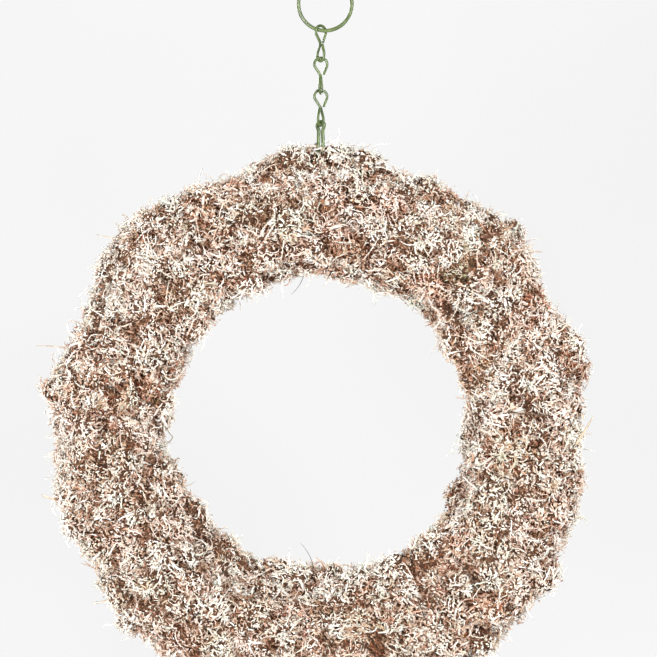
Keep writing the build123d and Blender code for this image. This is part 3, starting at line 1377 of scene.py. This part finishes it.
@dataclass
class Studio:
    """Camera, soft light, pale floor and a bare white wall, far enough back for the wreath to swing."""

    ring: PaddedRing
    field_width: float = 0.3988
    distance: float = 1.60
    aim_x: float = 2.0 * MM
    aim_z: float = -212.0 * MM
    sensor: float = 36.0
    floor_drop: float = 0.55
    floor_side: float = 6.0
    wall_gap: float = 450 * MM
    wall_side: float = 3.0
    wall_top: float = 2.0
    backdrop: Colour = (0.925, 0.925, 0.925)
    surround: Colour = (1.0, 0.99, 0.975)
    fill: float = 0.20
    lamps: tuple[SoftLamp, ...] = (
        SoftLamp("key", (0.95, -1.8, 0.5), 0.65, 62.0),
        SoftLamp("left_fill", (-1.2, -1.7, -0.6), 0.8, 55.0),
        SoftLamp("back_key", (-1.0, 1.9, 0.5), 0.9, 38.0),
        SoftLamp("back_fill", (1.3, 1.6, -0.3), 0.9, 22.0),
    )

    def camera(self) -> None:
        """Sets a level camera square in front."""
        data = bpy.data.cameras.new("camera")
        data.sensor_width = self.sensor
        data.lens = self.sensor * self.distance / self.field_width
        camera = bpy.data.objects.new("camera", data)
        camera.location = (self.aim_x, -self.distance, self.aim_z)
        camera.rotation_euler = (math.pi / 2, 0, 0)
        bpy.context.scene.collection.objects.link(camera)
        bpy.context.scene.camera = camera

    def light(self, lamp: SoftLamp) -> None:
        """Adds one lamp, aimed at the wreath.

        Args:
            lamp: The lamp.
        """
        data = bpy.data.lights.new(lamp.name, "AREA")
        data.shape = "SQUARE"
        data.size = lamp.size
        data.energy = lamp.power
        data.color = lamp.colour
        source = bpy.data.objects.new(lamp.name, data)
        source.location = lamp.place
        aim = Vector((self.ring.centre_x, 0, self.ring.centre_z)) - Vector(lamp.place)
        source.rotation_euler = aim.to_track_quat("-Z", "Y").to_euler()
        bpy.context.scene.collection.objects.link(source)

    def world(self) -> None:
        """Sets an even white surround, which the camera sees at the wall's own brightness."""
        world = bpy.data.worlds.new("surround")
        kit = NodeKit(world)
        path = kit.node("ShaderNodeLightPath").outputs["Is Camera Ray"]
        seen = kit.node("ShaderNodeBackground", {}, {"Color": (*self.backdrop, 1)})
        light = kit.node("ShaderNodeBackground", {}, {"Color": (*self.surround, 1), "Strength": self.fill})
        either = kit.node("ShaderNodeMixShader", {}, {0: path, 1: light.outputs[0], 2: seen.outputs[0]})
        kit.node("ShaderNodeOutputWorld", {}, {"Surface": either.outputs[0]})
        bpy.context.scene.world = world

    def panel(self, name: str, corners: Sequence[Colour], paint: PlainStage) -> bpy.types.Object:
        """Adds a flat stage panel.

        Args:
            name: Its name.
            corners: Its four corners in order.
            paint: Its finish.

        Returns:
            The panel.
        """
        mesh = bpy.data.meshes.new(name)
        mesh.from_pydata([Vector(c) for c in corners], [], [tuple(range(len(corners)))])
        mesh.materials.append(paint.build())
        piece = bpy.data.objects.new(name, mesh)
        bpy.context.scene.collection.objects.link(piece)
        return piece

    def build(self) -> None:
        """Sets everything up."""
        self.camera()
        self.world()
        for lamp in self.lamps:
            self.light(lamp)
        low = self.ring.centre_z - self.ring.outer - self.floor_drop
        side = self.floor_side
        corners = [(-side, -side, low), (side, -side, low), (side, side, low), (-side, side, low)]
        self.panel("floor", corners, FLOOR_PAINT)
        back = self.ring.back + self.wall_gap
        side, top = self.wall_side, self.wall_top
        corners = [(-side, back, low), (side, back, low), (side, back, top), (-side, back, top)]
        wall = self.panel("wall", corners, WALL_PAINT)
        wall.visible_shadow = False
        wall.visible_diffuse = False
        wall.visible_glossy = False
        bpy.context.scene.view_settings.view_transform = "Standard"


# ------------------------------------------------------------------------------------------- main
FULLNESS = tuple(out * MM for out in (0, 1, 3, -6, 0, -2, 2, 1, 1, 4, 3, 2, -5, -5, 0, 0))
PATCHES = (
    Patch(Accent.GREEN, 103.0, 98 * MM, 4 * MM),
    Patch(Accent.GREEN, 47.0, 122 * MM, 5 * MM),
    Patch(Accent.GOLD, 355.0, 88 * MM, 6 * MM),
    Patch(Accent.GOLD, 20.0, 94 * MM, 10 * MM),
    Patch(Accent.DARK_RED, 79.0, 106 * MM, 8 * MM),
    Patch(Accent.DARK_RED, 13.5, 161 * MM, 9 * MM, 4 * MM),
)
ROOT_HAIRS = (
    Fibre(267.5, 0.50, 84, 26 * MM, 0.20 * MM, 0.9),
    Fibre(96.0, 0.50, 262, 17 * MM, 0.20 * MM, 0.8),
    Fibre(105.0, 0.47, 215, 22 * MM, 0.18 * MM, 0.9),
    Fibre(250.0, 0.48, 60, 15 * MM, 0.16 * MM, 1.3),
)
STRAWS = (
    Fibre(356.0, 0.10, 58, 20 * MM, 0.75 * MM, 0.05),
    Fibre(162.8, 0.05, 168, 20 * MM, 0.35 * MM, 0.25),
    Fibre(135.4, 0.03, 176, 22 * MM, 0.35 * MM, 0.2),
    Fibre(172.0, 0.04, 152, 16 * MM, 0.30 * MM, 0.3),
)


def main() -> None:
    """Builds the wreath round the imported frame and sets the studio."""
    logging.basicConfig(level=logging.INFO, format="%(name)s: %(message)s")
    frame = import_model()
    ring = PaddedRing.from_frame()
    LOG.info("ring %.1f to %.1f mm", ring.inner / MM, ring.outer / MM)
    Studio(ring).build()
    Metalwork(frame["nodes"]).build()
    tufts = Tufts(ring, PATCHES, FULLNESS)
    LOG.info("%d tufts", len(tufts.centre))
    moss = [DriedMoss().build(), PackedCore().build()]
    for number in range(1, ring.pads + 1):
        piece = MossPad(ring, tufts, number).build(moss)
        LOG.info("%s: %d faces", piece.name, len(piece.data.polygons))
    hair = PlantFibre("root_hair", (0.020, 0.012, 0.010), (0.075, 0.045, 0.035)).build()
    straw = PlantFibre("straw", (0.33, 0.22, 0.13), (0.66, 0.53, 0.40)).build()
    hairs = LooseFibres("root_hairs", ring, hair, ROOT_HAIRS, extra=5, seed=21)
    straws = LooseFibres(
        "straws", ring, straw, STRAWS, 4, extra_radius=(0.2 * MM, 0.5 * MM), extra_turn=(0.02, 0.5), seed=8
    )
    for group in (hairs, straws):
        piece = group.build()
        LOG.info("%s: %d faces", piece.name, len(piece.data.polygons))


if __name__ == "__main__":
    main()
